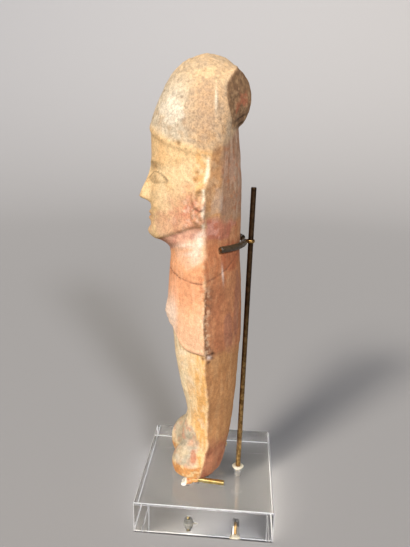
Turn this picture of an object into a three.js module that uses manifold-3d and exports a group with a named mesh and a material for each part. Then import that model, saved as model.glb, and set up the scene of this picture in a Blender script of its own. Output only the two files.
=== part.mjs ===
// Terracotta statuette of a standing figure in a tall cap, on a clear block with a brass rod
// and fork. Millimetres, +Z up. The origin is the centre of the block's underside, and the
// figure faces -Y. A two-part mould left a seam down both sides, so every level of the figure
// has a front half and a back half that meet at a ridge.

import * as THREE from 'three';
import { mergeVertices } from 'three/addons/utils/BufferGeometryUtils.js';
import Module from 'manifold-3d';

// Driving dimensions
const GAP = 0.3;
const BLOCK_SIDE = 80;
const BLOCK_HEIGHT = 20;
const ROD_RADIUS = 1.5;
const ROD_Y = 18.8;
const ROD_TOP = 195.6;
const ROD_FOOT = 9.5;
const ROD_HOLE_FLOOR = 5.5;
const ROD_LEAN = THREE.MathUtils.degToRad(0.6);
const PIN_RADIUS = 1.5;
const PIN_HEIGHT = BLOCK_HEIGHT + GAP + PIN_RADIUS;
const FIGURE_TURN = THREE.MathUtils.degToRad(5);
const SOLE = PIN_HEIGHT + PIN_RADIUS + GAP;
const CROWN = 262;
const HEM_FRONT = 117;
const HEM_SIDE = 106;
const CHIN = 168;
const BRIM_FRONT = 226;
const BRIM_SIDE = 214;

// The fork and its sleeves
const FORK_HEIGHT = 165.8;
const FORK_TILT = 0.045;
const WIRE_RADIUS = 0.9;
const SLEEVE_RADIUS = 1.75;
const SLEEVE_BORE = WIRE_RADIUS + GAP;
const FORK_REACH = 0.66;
const SOLDER_LENGTH = 2.2;

// The foot pins and the glue
const PIN_X = 17.6;
const PIN_FRONT = -11.5;
const PIN_RUN = 22.4;
const PIN_FOOT = 14.6;
const PIN_BEND = 2.8;
const PIN_ROOM = PIN_RADIUS + 0.15;
const PIN_SPLAY = THREE.MathUtils.degToRad(6);
const GLUE_WALL = 0.5;
const GLUE_FLARE = 1.2;
const GLUE_CONE = 3.5;

// Figure profiles: [height, value], joined by a smooth curve
const FRONT = [
  [SOLE, -17], [36, -18.6], [48, -16.8], [58, -14.2], [66, -15], [79, -18.2], [97, -21.4],
  [106, -22.2], [118, -23.2], [135, -25], [152, -24.8], [160, -24.4], [164, -26.5], [169, -33.4],
  [178, -35], [214, -35], [226, -34.6], [236, -31.9], [245, -28.4], [251, -24.9], [256, -20.6],
  [259, -16.6], [261, -12], [CROWN, -8],
];
const BACK = [
  [SOLE, 8], [30, 9.7], [42, 11.6], [52, 13.2], [66, 14.6], [92, 15.9], [118, 16.3], [142, 15.7],
  [160, 14.4], [193, 14], [210, 12.8], [225, 11.3], [240, 11], [250, 10.6], [256, 8.4],
  [259, 5.4], [261, 1.6], [CROWN, -2],
];
const HALF_WIDTH = [
  [SOLE, 17], [42, 17], [58, 16.6], [80, 20.5], [106, 23.4], [118, 24.4], [135, 23.6],
  [150, 25.4], [158, 24.6], [168, 22.4], [178, 22.4], [192, 24], [206, 24], [222, 24.4],
  [234, 22.8], [246, 18.8], [253, 14.6], [258, 10], [261, 5.4], [CROWN, 3.2],
];
const RIDGE = [
  [SOLE, -2.6], [58, -1.8], [79, -2.8], [107, -5], [160, -5.8], [192, -5.8], [215, -3.5],
  [240, -3], [CROWN, -6],
];

// How fully each half bulges: the power of the width, and the sharpness at the seam
const FRONT_FULLNESS = [[SOLE, 2.3], [106, 2.3], [150, 2.5], [178, 2.6], [214, 2.5], [CROWN, 2]];
const FRONT_SEAM = [[SOLE, 1.2], [150, 1.2], [178, 1.35], [214, 1.5], [240, 1.9], [CROWN, 2]];
const BACK_FULLNESS = [[SOLE, 2.3], [178, 2.3], [240, 2], [CROWN, 2]];
const BACK_SEAM = [[SOLE, 1.2], [178, 1.25], [214, 1.5], [240, 1.9], [CROWN, 2]];

// Mesh fineness
const FRONT_STEPS = 28;
const BACK_STEPS = 14;
const ROUND_SIDES = 16;
const WIRE_QUARTERS = 5;

const wasm = await Module();
wasm.setup();

// A smooth curve through [height, value] points, level beyond both ends
function profile(points) {
  const slope = points.map((point, i) => {
    const before = points[Math.max(i - 1, 0)];
    const after = points[Math.min(i + 1, points.length - 1)];
    return (after[1] - before[1]) / (after[0] - before[0]);
  });
  return (height) => {
    const last = points.length - 1;
    if (height <= points[0][0]) return points[0][1];
    if (height >= points[last][0]) return points[last][1];
    const i = points.findIndex((point) => point[0] > height) - 1;
    const span = points[i + 1][0] - points[i][0];
    const t = (height - points[i][0]) / span;
    const rise = points[i + 1][1] - points[i][1];
    const ease = t * t * (3 - 2 * t);
    const lead = span * t * (1 - t) * ((1 - t) * slope[i] - t * slope[i + 1]);
    return points[i][1] + rise * ease + lead;
  };
}

const front = profile(FRONT);
const back = profile(BACK);
const halfWidth = profile(HALF_WIDTH);
const ridge = profile(RIDGE);
const frontFullness = profile(FRONT_FULLNESS);
const frontSeam = profile(FRONT_SEAM);
const backFullness = profile(BACK_FULLNESS);
const backSeam = profile(BACK_SEAM);

// 1 at the middle, falling smoothly to about 0 at twice the reach
function bump(distance, reach) {
  return Math.exp(-((distance / reach) ** 2));
}

// 0 below the edge, 1 above it, with a smooth step of the given width
function step(value, edge, width) {
  return THREE.MathUtils.smoothstep(value, edge - width / 2, edge + width / 2);
}

// How far the carved forms stand out of the front, towards -Y
function frontRelief(x, z) {
  const side = Math.abs(x);
  const bridge = THREE.MathUtils.clamp((206 - z) / 17, 0, 1);
  const noseWidth = 2.2 + 2.6 * bridge;
  let out = 0;
  out += 8 * bridge * step(z, 186.5, 3) * bump(x, noseWidth);
  out += 1.4 * bump(side - 9.5, 7) * bump(z - 206.5, 2.6);
  out -= 2.6 * bump(side - 9, 4.6) * bump(z - 199, 3.6);
  out += 1.7 * bump(side - 9, 3.4) * bump(z - 198.5, 2.2);
  out += 1.2 * bump(side - 12, 5) * bump(z - 187, 5);
  out += 1.5 * bump(x, 6) * bump(z - 180.8, 1.9);
  out += 1.4 * bump(x, 5) * bump(z - 176.6, 1.8);
  out -= 1 * bump(x, 8) * bump(z - 173.4, 1.8);
  out += 1.6 * bump(x, 6) * bump(z - 169, 3.4);
  return out + armRelief(side, z);
}

// The forearms, low on the belly: hands meeting at the middle, fading out towards the elbows
function armRelief(side, z) {
  const along = THREE.MathUtils.clamp((side - 4) / 13, 0, 1);
  const middle = 125 + 18 * along;
  const forearm = (1.1 - 0.7 * along) * bump(z - middle, 5) * (1 - step(side, 17, 4));
  const hand = 1.4 * bump(side - 4, 4.4) * bump(z - 124, 7);
  return forearm + hand - 1.4 * bump(side, 1.3) * bump(z - 124, 7);
}

// The groove between the legs, deeper in front
function legGroove(x, z, depth) {
  return depth * bump(x, 2.2) * (1 - step(z, HEM_SIDE - 6, 12));
}

// The tunic's hem: level at the sides, swept up to the middle of the front
function hemHeight(share, onFront) {
  const rise = onFront ? 1 - THREE.MathUtils.smoothstep(share, 0.3, 0.8) : 0;
  return HEM_SIDE + (HEM_FRONT - HEM_SIDE) * rise;
}

// The cap's lower edge: high in front, lower at the seam
function brimHeight(x, width) {
  return BRIM_FRONT - (BRIM_FRONT - BRIM_SIDE) * Math.min(Math.abs(x) / width, 1) ** 1.6;
}

// How far the surface stands out all round at a place on the front half
function roundRelief(x, z, width) {
  const brim = brimHeight(x, width);
  const onFront = 0.8 * step(z, brim - 1.5, 2.5) * (1 - step(z, brim + 12, 14));
  const roll = 0.5 * bump(x, 14) * bump(z - brim, 2.6);
  return onFront + roll;
}

// The ear and its ornament, just in front of the seam
function earRelief(y, z, seam) {
  const ahead = y - seam;
  const ear = 1.6 * bump(ahead + 3.4, 3) * bump(z - 193, 5.4);
  return ear + 1.9 * bump(ahead + 4, 3.2) * bump(z - 182, 3.6);
}

// One point of the figure's skin: part runs from -1 to 1 across the front or the back half
function skinPoint(part, z, onFront) {
  const width = halfWidth(z);
  const seam = ridge(z);
  const x = width * Math.sin(part * Math.PI / 2);
  const share = Math.min(Math.abs(x) / width, 1);
  const fullness = onFront ? frontFullness(z) : backFullness(z);
  const sharpness = onFront ? frontSeam(z) : backSeam(z);
  const reach = (1 - share ** fullness) ** (1 / sharpness);
  const depth = onFront ? front(z) - seam : back(z) - seam;
  let y = seam + depth * reach;
  const hem = hemHeight(share, onFront);
  const tunic = (onFront ? 1.1 : 0.4) * step(z, hem, 1.2) * (1 - step(z, hem + 22, 30));
  let out = tunic + 0.5 * bump(1 - share, 0.05);
  if (onFront) {
    out += roundRelief(x, z, width) + earRelief(y, z, seam);
    y -= frontRelief(x, z) * reach;
    y += legGroove(x, z, 3.4);
  } else {
    y -= legGroove(x, z, 1.6);
  }
  const away = new THREE.Vector2(x / width, depth === 0 ? 0 : reach * Math.sign(depth));
  away.normalize().multiplyScalar(out);
  return new THREE.Vector3(x + away.x, y + away.y, z);
}

// All points of one level, anticlockwise seen from above
function ring(z) {
  const points = [];
  for (let i = 0; i < FRONT_STEPS; i += 1) {
    points.push(skinPoint(2 * i / FRONT_STEPS - 1, z, true));
  }
  for (let i = 0; i < BACK_STEPS; i += 1) {
    points.push(skinPoint(1 - 2 * i / BACK_STEPS, z, false));
  }
  return points;
}

// Heights from low to high in even steps, without the last one
function levels(low, high, count) {
  return Array.from({ length: count }, (_, i) => low + (high - low) * i / count);
}

// A closed skin over rings of equally many points, ended flat below and above
function loft(rings) {
  const size = rings[0].length;
  const positions = rings.flat();
  const faces = [];
  for (let k = 0; k + 1 < rings.length; k += 1) {
    for (let i = 0; i < size; i += 1) {
      const a = k * size + i;
      const b = k * size + (i + 1) % size;
      faces.push(a, b, b + size, a, b + size, a + size);
    }
  }
  const ends = [rings[0], rings[rings.length - 1]].map((points) => {
    const middle = new THREE.Vector3();
    points.forEach((point) => middle.add(point));
    return positions.push(middle.divideScalar(size)) - 1;
  });
  const top = (rings.length - 1) * size;
  for (let i = 0; i < size; i += 1) {
    const next = (i + 1) % size;
    faces.push(ends[0], next, i);
    faces.push(ends[1], top + i, top + next);
  }
  const geometry = new THREE.BufferGeometry().setFromPoints(positions);
  geometry.setIndex(faces);
  return geometry;
}

// A manifold solid from a closed geometry
function solid(geometry) {
  const bare = geometry.clone();
  bare.deleteAttribute('normal');
  bare.deleteAttribute('uv');
  const merged = mergeVertices(bare, 1e-4);
  const mesh = new wasm.Mesh({
    numProp: 3,
    vertProperties: new Float32Array(merged.attributes.position.array),
    triVerts: new Uint32Array(merged.index.array),
  });
  return new wasm.Manifold(mesh);
}

// A geometry from a manifold solid
function geometryOf(manifold) {
  const mesh = manifold.getMesh();
  const geometry = new THREE.BufferGeometry();
  geometry.setAttribute('position', new THREE.BufferAttribute(mesh.vertProperties, 3));
  geometry.setIndex(new THREE.BufferAttribute(mesh.triVerts, 1));
  geometry.computeVertexNormals();
  return geometry;
}

// A rounded lump: a sphere stretched to its half sizes and moved
function lump(half, centre, sides, rows) {
  const geometry = new THREE.SphereGeometry(1, sides, rows);
  geometry.rotateX(Math.PI / 2);
  geometry.scale(half[0], half[1], half[2]);
  geometry.translate(centre[0], centre[1], centre[2]);
  return geometry;
}

// The body from sole to crown, with close levels at the hem, the face and the cap's edge
function bodySkin() {
  const heights = [
    ...levels(SOLE, HEM_SIDE - 1, 12),
    ...levels(HEM_SIDE - 1, HEM_FRONT + 1, 9),
    ...levels(HEM_FRONT + 1, CHIN - 6, 10),
    ...levels(CHIN - 6, BRIM_FRONT + 2, 30),
    ...levels(BRIM_FRONT + 2, 250, 5),
    ...levels(0, 1, 6).map((t) => CROWN - (CROWN - 250) * (1 - t) ** 2),
    CROWN,
  ];
  return loft(heights.map(ring));
}

// A foot: a long rounded lump, flat at the sole, its toe reaching forward
function foot(side, toe) {
  const heel = 5;
  const half = [10.6, (heel - toe) / 2, 13.5];
  const geometry = lump(half, [side * 10.2, (heel + toe) / 2, SOLE + 6.5], 14, 10);
  const place = geometry.attributes.position;
  for (let i = 0; i < place.count; i += 1) {
    place.setZ(i, Math.max(place.getZ(i), SOLE));
  }
  return geometry;
}

// The rolled lump at the back of the cap, drawn to a point below. Its back slopes in from an
// arris down each side.
function capLump() {
  const [wide, deep, tall] = [17, 13, 16];
  const geometry = lump([wide, deep, tall], [0, 0, 0], 20, 12);
  const place = geometry.attributes.position;
  for (let i = 0; i < place.count; i += 1) {
    const level = Math.hypot(place.getX(i) / wide, place.getY(i) / deep);
    const share = level > 0.001 ? Math.min(Math.abs(place.getX(i)) / (wide * level), 1) : 1;
    const sloped = deep * level * (1 - share ** 1.35);
    const below = THREE.MathUtils.clamp(-(place.getZ(i) + 3) / 13, 0, 1);
    const y = place.getY(i) > 0 ? sloped : place.getY(i);
    place.setX(i, place.getX(i) * (1 - 0.4 * below));
    place.setY(i, y + 1.8 * below * below);
  }
  return geometry.translate(0, 4.4, 241);
}

// The whole figure as one solid
function statuetteGeometry() {
  const whole = solid(bodySkin())
    .add(solid(foot(1, -22.6)))
    .add(solid(foot(-1, -24)))
    .add(solid(capLump()));
  return geometryOf(whole);
}

// A solid of revolution about Z from [radius, height] points
function turned(points, x, y, sides = ROUND_SIDES) {
  const outline = points.map((point) => new THREE.Vector2(point[0], point[1]));
  const geometry = new THREE.LatheGeometry(outline, sides);
  geometry.rotateX(Math.PI / 2);
  geometry.translate(x, y, 0);
  return geometry;
}

// A wire or a sleeve along a path
function drawn(path, radius, bore, steps) {
  const section = new THREE.Shape().absarc(0, 0, radius, 0, 2 * Math.PI);
  if (bore > 0) {
    section.holes.push(new THREE.Path().absarc(0, 0, bore, 0, 2 * Math.PI, true));
  }
  return new THREE.ExtrudeGeometry(section, {
    steps, curveSegments: WIRE_QUARTERS, extrudePath: path,
  });
}

// The drilled hole for a wire: a countersunk blind bore, from its floor to above the block
function hole(x, y, floor, wire) {
  const bore = wire + 2 * GAP + GLUE_WALL;
  const mouth = bore + GLUE_FLARE;
  return turned([
    [0, floor], [bore, floor], [bore, BLOCK_HEIGHT - GLUE_CONE], [mouth, BLOCK_HEIGHT],
    [mouth, BLOCK_HEIGHT + 1], [0, BLOCK_HEIGHT + 1],
  ], x, y);
}

function blockGeometry() {
  const box = new THREE.BoxGeometry(BLOCK_SIDE, BLOCK_SIDE, BLOCK_HEIGHT);
  box.translate(0, 0, BLOCK_HEIGHT / 2);
  const drilled = solid(box)
    .subtract(solid(hole(0, ROD_Y, ROD_HOLE_FLOOR, ROD_RADIUS)))
    .subtract(solid(hole(PIN_X, PIN_FRONT, PIN_FOOT - GAP, PIN_ROOM)))
    .subtract(solid(hole(-PIN_X, PIN_FRONT, PIN_FOOT - GAP, PIN_ROOM)));
  return geometryOf(drilled);
}

// The rod stands on its own foot, before it is leaned and put in its hole
function rodGeometry() {
  const round = 0.5;
  const top = ROD_TOP - ROD_FOOT;
  return turned([
    [0, 0], [ROD_RADIUS, 0], [ROD_RADIUS, top - 2 * round],
    [ROD_RADIUS - round / 2, top - round / 2], [ROD_RADIUS / 2, top], [0, top],
  ], 0, 0);
}

// Where the leaning rod's axis passes at a height
function rodAt(z) {
  return ROD_Y + (z - BLOCK_HEIGHT) * Math.tan(ROD_LEAN);
}

// Glue round the wire, filling the countersink of its hole
function glueGeometry(x, y, wire) {
  const inside = wire + GAP;
  const outside = inside + GLUE_WALL;
  const floor = BLOCK_HEIGHT - GLUE_CONE;
  return turned([
    [inside, floor], [outside, floor], [outside + GLUE_FLARE, BLOCK_HEIGHT],
    [inside, BLOCK_HEIGHT], [inside, floor],
  ], x, y);
}

// The fork's centre line: the figure's back at that height, moved out by the sleeve
function forkPath(from, to) {
  const clearance = SLEEVE_RADIUS + GAP + 0.3;
  const points = [];
  for (let i = 0; i <= 12; i += 1) {
    const part = FORK_REACH * (from + (to - from) * i / 12);
    const here = skinPoint(part, FORK_HEIGHT, false);
    const along = skinPoint(part + 0.01, FORK_HEIGHT, false).sub(here);
    const away = new THREE.Vector3(-along.y, along.x, 0).normalize();
    here.addScaledVector(away, clearance);
    here.applyAxisAngle(new THREE.Vector3(0, 0, 1), FIGURE_TURN);
    here.z -= FORK_TILT * here.x;
    points.push(here);
  }
  return new THREE.CatmullRomCurve3(points);
}

// The fork with the solder ring that holds it to the rod
function cradleGeometry() {
  const half = SOLDER_LENGTH / 2;
  const inside = ROD_RADIUS + GAP;
  const outside = inside + 0.5;
  const rodHere = rodAt(FORK_HEIGHT);
  const collar = turned([
    [inside, FORK_HEIGHT - half], [outside, FORK_HEIGHT - half], [outside, FORK_HEIGHT + half],
    [inside, FORK_HEIGHT + half], [inside, FORK_HEIGHT - half],
  ], 0, rodHere, 12);
  const wire = forkPath(-1, 1);
  const middle = wire.getPoint(0.5);
  const stubEnd = new THREE.Vector3(0, rodHere - inside - 0.1, FORK_HEIGHT);
  const stub = drawn(new THREE.LineCurve3(middle, stubEnd), 0.85, 0, 1);
  const whole = solid(drawn(wire, WIRE_RADIUS, 0, 20)).add(solid(stub)).add(solid(collar));
  return geometryOf(whole);
}

// A foot pin on its leg's axis: a leg down into the block, a bend, and a straight run back
function pinGeometry() {
  const corner = new THREE.Vector3(0, 0, PIN_HEIGHT);
  const below = new THREE.Vector3(0, 0, PIN_HEIGHT - PIN_BEND);
  const behind = new THREE.Vector3(0, PIN_BEND, PIN_HEIGHT);
  const path = new THREE.CurvePath();
  path.add(new THREE.LineCurve3(new THREE.Vector3(0, 0, PIN_FOOT), below));
  path.add(new THREE.QuadraticBezierCurve3(below, corner, behind));
  path.add(new THREE.LineCurve3(behind, new THREE.Vector3(0, PIN_RUN, PIN_HEIGHT)));
  return drawn(path, PIN_RADIUS, 0, 16);
}

const clay = new THREE.MeshStandardMaterial({ color: 0xd09a6a, roughness: 0.92 });
const acrylic = new THREE.MeshStandardMaterial({
  color: 0xe8eeee, roughness: 0.04, transparent: true, opacity: 0.3,
});
const agedBrass = new THREE.MeshStandardMaterial({ color: 0x6b5232, roughness: 0.4, metalness: 1 });
const brightBrass = new THREE.MeshStandardMaterial({ color: 0xc9a655, roughness: 0.3, metalness: 1 });
const sleeving = new THREE.MeshStandardMaterial({ color: 0x241f18, roughness: 0.55 });
const glue = new THREE.MeshStandardMaterial({ color: 0xe6dfc6, roughness: 0.5 });

const object = new THREE.Group();

function piece(name, geometry, material) {
  const mesh = new THREE.Mesh(geometry, material);
  mesh.name = name;
  object.add(mesh);
  return mesh;
}

piece('statuette', statuetteGeometry(), clay).rotation.z = FIGURE_TURN;
piece('base_block', blockGeometry(), acrylic);
const rod = piece('support_rod', rodGeometry(), agedBrass);
rod.rotation.x = -ROD_LEAN;
rod.position.set(0, rodAt(ROD_FOOT), ROD_FOOT);
piece('cradle', cradleGeometry(), brightBrass);
piece('cradle_sleeve_left', drawn(forkPath(0.2, 1), SLEEVE_RADIUS, SLEEVE_BORE, 7), sleeving);
piece('cradle_sleeve_right', drawn(forkPath(-0.2, -1), SLEEVE_RADIUS, SLEEVE_BORE, 7), sleeving);
for (const [side, across] of [['left', PIN_X], ['right', -PIN_X]]) {
  const pin = piece(`${side}_foot_pin`, pinGeometry(), brightBrass);
  pin.rotation.z = -Math.sign(across) * PIN_SPLAY;
  pin.position.set(across, PIN_FRONT, 0);
}
piece('rod_glue', glueGeometry(0, ROD_Y, ROD_RADIUS), glue);
piece('left_pin_glue', glueGeometry(PIN_X, PIN_FRONT, PIN_ROOM), glue);
piece('right_pin_glue', glueGeometry(-PIN_X, PIN_FRONT, PIN_ROOM), glue);

export default object;
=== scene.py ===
import math

import bmesh
import bpy
import numpy as np
from mathutils import Matrix, Vector


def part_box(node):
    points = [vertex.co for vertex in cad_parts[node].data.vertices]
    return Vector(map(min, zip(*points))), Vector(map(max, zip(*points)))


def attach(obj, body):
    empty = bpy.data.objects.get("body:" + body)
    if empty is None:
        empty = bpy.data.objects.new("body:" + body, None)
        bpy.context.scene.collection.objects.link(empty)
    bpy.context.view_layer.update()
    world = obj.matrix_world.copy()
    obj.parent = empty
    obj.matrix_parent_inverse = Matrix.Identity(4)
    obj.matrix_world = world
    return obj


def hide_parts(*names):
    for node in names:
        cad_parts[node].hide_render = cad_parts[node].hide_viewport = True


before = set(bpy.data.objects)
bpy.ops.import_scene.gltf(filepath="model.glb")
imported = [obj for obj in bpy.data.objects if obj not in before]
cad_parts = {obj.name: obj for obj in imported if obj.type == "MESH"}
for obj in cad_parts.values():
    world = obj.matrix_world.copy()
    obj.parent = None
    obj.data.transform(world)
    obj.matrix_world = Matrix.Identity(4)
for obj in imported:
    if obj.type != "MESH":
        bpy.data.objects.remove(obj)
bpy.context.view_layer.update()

MM = 0.001

# The photograph's camera
CAMERA_PLACE = (0.27514, 0.01606, 0.22273)
CAMERA_AZIMUTH = math.radians(-175.640)
CAMERA_ELEVATION = math.radians(-15.565)
CAMERA_ROLL = math.radians(1.267)
PHOTO_WIDTH = 410
FOCAL_PIXELS = 500
SENSOR_WIDTH = 36

# The figure's own frame: millimetres, turned a little on the block
FIGURE_TURN = math.radians(5)
VOXEL = 0.71
RING_STEP = 0.55
FORK_VOXEL = 0.16
WAX_VOXEL = 0.18
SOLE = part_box("statuette")[0][2] / MM
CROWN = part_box("statuette")[1][2] / MM
CROWN_START = 250
ROSETTE = (-8, 182.6)
EAR = (-8.6, 192)
HEEL = 5
FEET = ((1, -22.6, 13.5), (-1, -24, 16.5))
LUMP_HALF = (17, 13, 16)
LUMP_Y = 4.4
LUMP_HEIGHT = 241
HEM_FRONT = 117
HEM_SIDE = 106
CHIN = 168
BRIM_FRONT = 226
BRIM_SIDE = 214
FACE_HEIGHT = BRIM_FRONT - CHIN
EYE_LEVEL = CHIN + 0.55 * FACE_HEIGHT
MOUTH_LEVEL = CHIN + 0.2 * FACE_HEIGHT

# Figure profiles: (height, value), joined by a smooth curve
FRONT = (
    (SOLE, -17), (36, -18.6), (48, -16.8), (58, -14.2), (66, -15), (79, -18.2), (97, -21.4),
    (106, -22.2), (118, -23.2), (135, -25), (152, -24.8), (160, -24.4), (164, -26.5), (169, -33.4),
    (178, -35), (214, -35), (226, -34.6), (236, -31.9), (245, -28.4), (251, -24.9), (256, -20.6),
    (259, -16.6), (261, -12), (CROWN, -8),
)
BACK = (
    (SOLE, 8), (30, 9.7), (42, 11.6), (52, 13.2), (66, 14.6), (92, 15.9), (118, 16.3), (142, 15.7),
    (160, 14.4), (193, 14), (210, 12.8), (225, 11.3), (240, 11), (250, 10.6), (256, 8.4),
    (259, 5.4), (261, 1.6), (CROWN, -2),
)
HALF_WIDTH = (
    (SOLE, 17), (42, 17), (58, 16.6), (80, 20.5), (106, 23.4), (118, 24.4), (135, 23.6),
    (150, 25.4), (158, 24.6), (168, 22.4), (178, 22.4), (192, 24), (206, 24), (222, 24.4),
    (234, 22.8), (246, 18.8), (253, 14.6), (258, 10), (261, 5.4), (CROWN, 3.2),
)
RIDGE = (
    (SOLE, -2.6), (58, -1.8), (79, -2.8), (107, -5), (160, -5.8), (192, -5.8), (215, -3.5),
    (240, -3), (CROWN, -6),
)
FRONT_FULLNESS = ((SOLE, 2.3), (106, 2.3), (150, 2.5), (178, 2.6), (214, 2.5), (CROWN, 2))
FRONT_SEAM = ((SOLE, 1.2), (150, 1.2), (178, 1.35), (214, 1.5), (240, 1.9), (CROWN, 2))
BACK_FULLNESS = ((SOLE, 2.3), (178, 2.3), (240, 2), (CROWN, 2))
BACK_SEAM = ((SOLE, 1.2), (178, 1.25), (214, 1.5), (240, 1.9), (CROWN, 2))

# Small losses beside the seam: place (y, height), reach, depth, painted reach and colour
LOSSES = (
    ((-5.5, 103.4), 1.0, 0.7, 0.9, "6A4526"),
    ((0.1, 106), 1.2, 0.8, 1.3, "54321F"),
    ((-0.2, 103.2), 1.0, 0.6, 1.1, "5E3A26"),
    ((-2.0, 100.9), 0.8, 0.6, 0.9, "4E3020"),
    ((-1.8, 103.9), 1.1, 0.5, 1.1, "F6E0D0"),
    ((-19.8, 218.3), 0.9, 0.6, 1.1, "7C5E38"),
    ((-10.4, 204.2), 1.3, 0.5, 1.4, "B8864C"),
    ((-11.2, 200.8), 1.1, 0.5, 1.2, "A87438"),
)
TOE_CHIP = ((-20, 28), 2.6, 0.6)

# The stand, in millimetres
BLOCK_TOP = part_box("base_block")[1][2] / MM
BLOCK_EDGE = 0.42
HOLE_MOUTH = 3
COUNTERSINK = 1.3
ROD_BORE = 2.4
PIN_BORE = 1.75
ROD_RADIUS = 1.5
ROD_EASE = 0.4
ROD_Y = 18.8
ROD_LEAN = math.radians(0.6)
ROD_HOLE_FLOOR = 5.5
PIN_RADIUS = 1.5
PIN_X = 17.6
PIN_FRONT = -11.5
PIN_RUN = 22.4
PIN_FOOT = 14.6
PIN_BEND = 2.8
PIN_EASE = 0.6
PIN_SPLAY = math.radians(6)
SLEEVE_RADIUS = 1.75
SLEEVE_BORE = 1.0
SLEEVE_START = 0.2
SLEEVE_LIP = 0.12
WIRE_RADIUS = 0.9
FORK_HEIGHT = 165.8
FORK_TILT = 0.045
FORK_REACH = 0.66
GAP = 0.3

# The stage: the floor's drop below the block in millimetres, its radius and its sweep in metres
FLOOR_DROP = 0.3
FLOOR_RADIUS = 1.0
SWEEP = 1.8
ROOM_LIGHT = 0.06

# Distant lights: name, azimuth, elevation and width in degrees, strength and colour
SUNS = (
    ("key", -41, 40, 11, 1.72, "FFF7EE"),
    ("key beside it", -35, 38, 15, 1.76, "FFF7EE"),
    ("second", 28, 26, 11, 1.5, "F8F8FF"),
    ("second beside it", 22, 26, 13, 1.5, "F8F8FF"),
)


# Small helpers for numbers and noise

def profile(points):
    """A smooth curve through (height, value) points, level beyond both ends."""
    heights = np.array([point[0] for point in points], float)
    values = np.array([point[1] for point in points], float)
    before = np.maximum(np.arange(len(points)) - 1, 0)
    after = np.minimum(np.arange(len(points)) + 1, len(points) - 1)
    slope = (values[after] - values[before]) / (heights[after] - heights[before])

    def curve(z):
        z = np.clip(z, heights[0], heights[-1])
        i = np.clip(np.searchsorted(heights, z, side="right") - 1, 0, len(points) - 2)
        span = heights[i + 1] - heights[i]
        t = (z - heights[i]) / span
        ease = t * t * (3 - 2 * t)
        lead = span * t * (1 - t) * ((1 - t) * slope[i] - t * slope[i + 1])
        return values[i] + (values[i + 1] - values[i]) * ease + lead

    return curve


front = profile(FRONT)
back = profile(BACK)
half_width = profile(HALF_WIDTH)
ridge = profile(RIDGE)
front_fullness = profile(FRONT_FULLNESS)
front_seam = profile(FRONT_SEAM)
back_fullness = profile(BACK_FULLNESS)
back_seam = profile(BACK_SEAM)


def bump(distance, reach):
    """1 at the middle, falling smoothly to about 0 at twice the reach."""
    return np.exp(-(distance / reach) ** 2)


def step(value, edge, width):
    """0 below the edge and 1 above it, with a smooth step of that width."""
    t = np.clip((value - edge) / width + 0.5, 0, 1)
    return t * t * (3 - 2 * t)


def below(value, edge, width):
    """1 below the edge and 0 above it, with a smooth step of that width."""
    return 1 - step(value, edge, width)


def lattice(cells, seed):
    """A repeatable number from 0 to 1 for each whole-number place."""
    x, y, z = cells.T
    n = x * 374761393 + y * 668265263 + z * 2147483647 + seed * 1274126177
    n = (n ^ (n >> 13)) * 1274126177
    n = n ^ (n >> 16)
    return (n & 0xFFFFF) / 0xFFFFF


def noise(points, size, seed):
    """Smooth noise from 0 to 1, with features of that size."""
    scaled = points / size
    low = np.floor(scaled).astype(np.int64)
    part = scaled - low
    part = part * part * (3 - 2 * part)
    total = np.zeros(len(points))
    for corner in np.ndindex(2, 2, 2):
        along_x, along_y, along_z = np.where(corner, part, 1 - part).T
        total += along_x * along_y * along_z * lattice(low + corner, seed)
    return total


def cloud(points, size, seed, octaves=4):
    """Layered noise from 0 to 1, each layer half the size of the one before."""
    total = np.zeros(len(points))
    for k in range(octaves):
        total += noise(points, size / 2 ** k, seed + k) / 2 ** k
    return total / (2 - 2 ** (1 - octaves))


def flecks(points, size, edge, seed, soft=0.1):
    """Ragged flecks of 0 or 1 with soft rims: the higher the edge, the fewer they are."""
    return step(cloud(points, size, seed, 3), edge, soft)


def spots(points, size, seed, share):
    """Distance to the nearest of some scattered points, in units of size."""
    scaled = points / size
    low = np.floor(scaled).astype(np.int64)
    nearest = np.full(len(points), 9.0)
    for corner in np.ndindex(3, 3, 3):
        cell = low + corner - 1
        there = lattice(cell, seed) < share
        place = cell + np.stack([lattice(cell, seed + k) for k in (1, 2, 3)], axis=1)
        gap = np.linalg.norm(scaled - place, axis=1)
        nearest = np.where(there, np.minimum(nearest, gap), nearest)
    return nearest


# The figure's form

def seam_line(z):
    """Where the mould's seam runs: the ridge, wandering a little."""
    return ridge(z) + 0.3 * np.sin(z / 5.3) + 0.18 * np.sin(z / 2.3 + 1)


def edge_on(x, z):
    """1 at the figure's sides, where the two halves meet, and 0 away from them."""
    return step(np.abs(x) / half_width(z), 0.86, 0.12)


def nose(x, z):
    """The nose: a wedge from the brow to the tip, with its wings."""
    side = np.abs(x)
    brow = CHIN + 0.66 * FACE_HEIGHT
    tip = CHIN + 0.375 * FACE_HEIGHT
    t = np.clip((brow - z) / (brow - tip), 0, 1)
    height = (0.6 + 6.2 * t ** 1.2) * step(z, tip - 2, 3.4) * step(-z, -brow, 5)
    wedge = height * bump(side, 2.2 + 1.7 * t)
    wings = 1.7 * bump(side - 3.9, 1.7) * bump(z - tip + 0.6, 2.2)
    nostrils = 1.1 * bump(side - 2.1, 1) * bump(z - tip + 2.7, 1)
    return wedge + wings - nostrils


def eye_gap(x, z):
    """How far up and how far in all a place is from an eye's middle: 1 along the almond's rim."""
    across = (np.abs(x) - 10) / 6.4
    up = (z - EYE_LEVEL - 0.8 * (1 - across ** 2)) / 2.5
    return up, np.hypot(across, up)


def brow_arch(side):
    """How high the brow's arch is, that far from the face's middle."""
    return EYE_LEVEL + 7 + 1.4 * (1 - ((side - 9.5) / 8) ** 2)


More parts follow.
